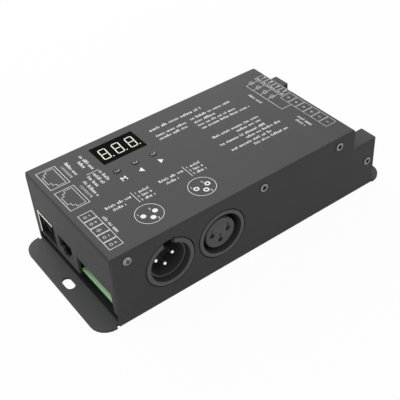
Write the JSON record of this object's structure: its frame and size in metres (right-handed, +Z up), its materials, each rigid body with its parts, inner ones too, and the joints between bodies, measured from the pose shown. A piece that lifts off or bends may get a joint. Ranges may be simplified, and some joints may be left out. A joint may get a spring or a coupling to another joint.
{
  "type": "dmx_decoder",
  "caption": "DMX decoder in a folded dark steel case with slotted ears: male and female XLR, RJ45 jacks, plug-in signal header, digit display with push buttons, screw terminal.",
  "frame": {"origin": "centre of the case's underside, midway between the outer ends of the two ears", "axes": "X runs from the data end to the power end, Y from the XLR side to the back, Z up"},
  "size_m": [0.1634, 0.0724, 0.039],
  "materials": {
    "powder_coat": "fine dark grey powder coat",
    "zinc": "bright zinc plate",
    "nickel": "nickel plate",
    "grey_shell": "dark grey satin shell",
    "black_plastic": "moulded black plastic",
    "grey_plastic": "moulded grey plastic",
    "green_plastic": "moulded green plastic",
    "board": "green solder mask",
    "film": "thin black insulating film",
    "display_black": "black display face"
  },
  "bodies": {
    "case": {"base_tray": "powder_coat", "top_lid": "powder_coat", "front_corner_screw": "zinc", "front_middle_screw": "zinc", "front_far_screw": "zinc", "front_step_screw": "zinc", "back_corner_screw": "zinc", "back_middle_screw": "zinc", "back_far_screw": "zinc", "back_step_screw": "zinc", "main_board": "board", "display_board": "board", "insulating_film": "film", "board_standoff_1": "nickel", "board_screw_1": "zinc", "board_standoff_2": "nickel", "board_screw_2": "zinc", "board_standoff_3": "nickel", "board_screw_3": "zinc", "board_standoff_4": "nickel", "board_screw_4": "zinc", "male_xlr_housing": "grey_shell", "female_xlr_housing": "grey_shell", "male_xlr_insert": "black_plastic", "female_xlr_insert": "grey_plastic", "male_xlr_pin_1": "nickel", "male_xlr_pin_2": "nickel", "male_xlr_pin_3": "nickel", "rear_jack_shield": "nickel", "rear_jack_insert": "black_plastic", "front_jack_shield": "nickel", "front_jack_insert": "black_plastic", "signal_header": "green_plastic", "signal_pin_1": "nickel", "signal_pin_2": "nickel", "signal_pin_3": "nickel", "signal_pin_4": "nickel", "signal_pin_5": "nickel", "power_terminal": "green_plastic", "display_module": "display_black", "board_link": "black_plastic", "menu_switch": "black_plastic", "left_switch": "black_plastic", "right_switch": "black_plastic", "capacitor_1": "black_plastic", "capacitor_2": "black_plastic"},
    "menu_key": {"menu_button": "grey_plastic"},
    "left_key": {"left_button": "grey_plastic"},
    "right_key": {"right_button": "grey_plastic"},
    "clamp_01": {"clamp_screw_01": "zinc"},
    "clamp_02": {"clamp_screw_02": "zinc"},
    "clamp_03": {"clamp_screw_03": "zinc"},
    "clamp_04": {"clamp_screw_04": "zinc"},
    "clamp_05": {"clamp_screw_05": "zinc"},
    "clamp_06": {"clamp_screw_06": "zinc"},
    "clamp_07": {"clamp_screw_07": "zinc"},
    "clamp_08": {"clamp_screw_08": "zinc"},
    "clamp_09": {"clamp_screw_09": "zinc"},
    "clamp_10": {"clamp_screw_10": "zinc"}
  },
  "joints": [
    {"name": "menu_key_press", "type": "slide", "parent": "case", "child": "menu_key", "axis": [0, 0, -1], "range_m": [0, 0.0003], "stiffness_N_per_m": 400, "springref_m": -0.0005},
    {"name": "left_key_press", "type": "slide", "parent": "case", "child": "left_key", "axis": [0, 0, -1], "range_m": [0, 0.0003], "stiffness_N_per_m": 400, "springref_m": -0.0005},
    {"name": "right_key_press", "type": "slide", "parent": "case", "child": "right_key", "axis": [0, 0, -1], "range_m": [0, 0.0003], "stiffness_N_per_m": 400, "springref_m": -0.0005},
    {"name": "clamp_01_turn", "type": "hinge", "parent": "case", "child": "clamp_01", "pos_m": [0.0648, -0.02286, 0.0205], "axis": [0, 0, 1], "continuous": true},
    {"name": "clamp_02_turn", "type": "hinge", "parent": "case", "child": "clamp_02", "pos_m": [0.0648, -0.01778, 0.0205], "axis": [0, 0, 1], "continuous": true},
    {"name": "clamp_03_turn", "type": "hinge", "parent": "case", "child": "clamp_03", "pos_m": [0.0648, -0.0127, 0.0205], "axis": [0, 0, 1], "continuous": true},
    {"name": "clamp_04_turn", "type": "hinge", "parent": "case", "child": "clamp_04", "pos_m": [0.0648, -0.00762, 0.0205], "axis": [0, 0, 1], "continuous": true},
    {"name": "clamp_05_turn", "type": "hinge", "parent": "case", "child": "clamp_05", "pos_m": [0.0648, -0.00254, 0.0205], "axis": [0, 0, 1], "continuous": true},
    {"name": "clamp_06_turn", "type": "hinge", "parent": "case", "child": "clamp_06", "pos_m": [0.0648, 0.00254, 0.0205], "axis": [0, 0, 1], "continuous": true},
    {"name": "clamp_07_turn", "type": "hinge", "parent": "case", "child": "clamp_07", "pos_m": [0.0648, 0.00762, 0.0205], "axis": [0, 0, 1], "continuous": true},
    {"name": "clamp_08_turn", "type": "hinge", "parent": "case", "child": "clamp_08", "pos_m": [0.0648, 0.0127, 0.0205], "axis": [0, 0, 1], "continuous": true},
    {"name": "clamp_09_turn", "type": "hinge", "parent": "case", "child": "clamp_09", "pos_m": [0.0648, 0.01778, 0.0205], "axis": [0, 0, 1], "continuous": true},
    {"name": "clamp_10_turn", "type": "hinge", "parent": "case", "child": "clamp_10", "pos_m": [0.0648, 0.02286, 0.0205], "axis": [0, 0, 1], "continuous": true}
  ]
}
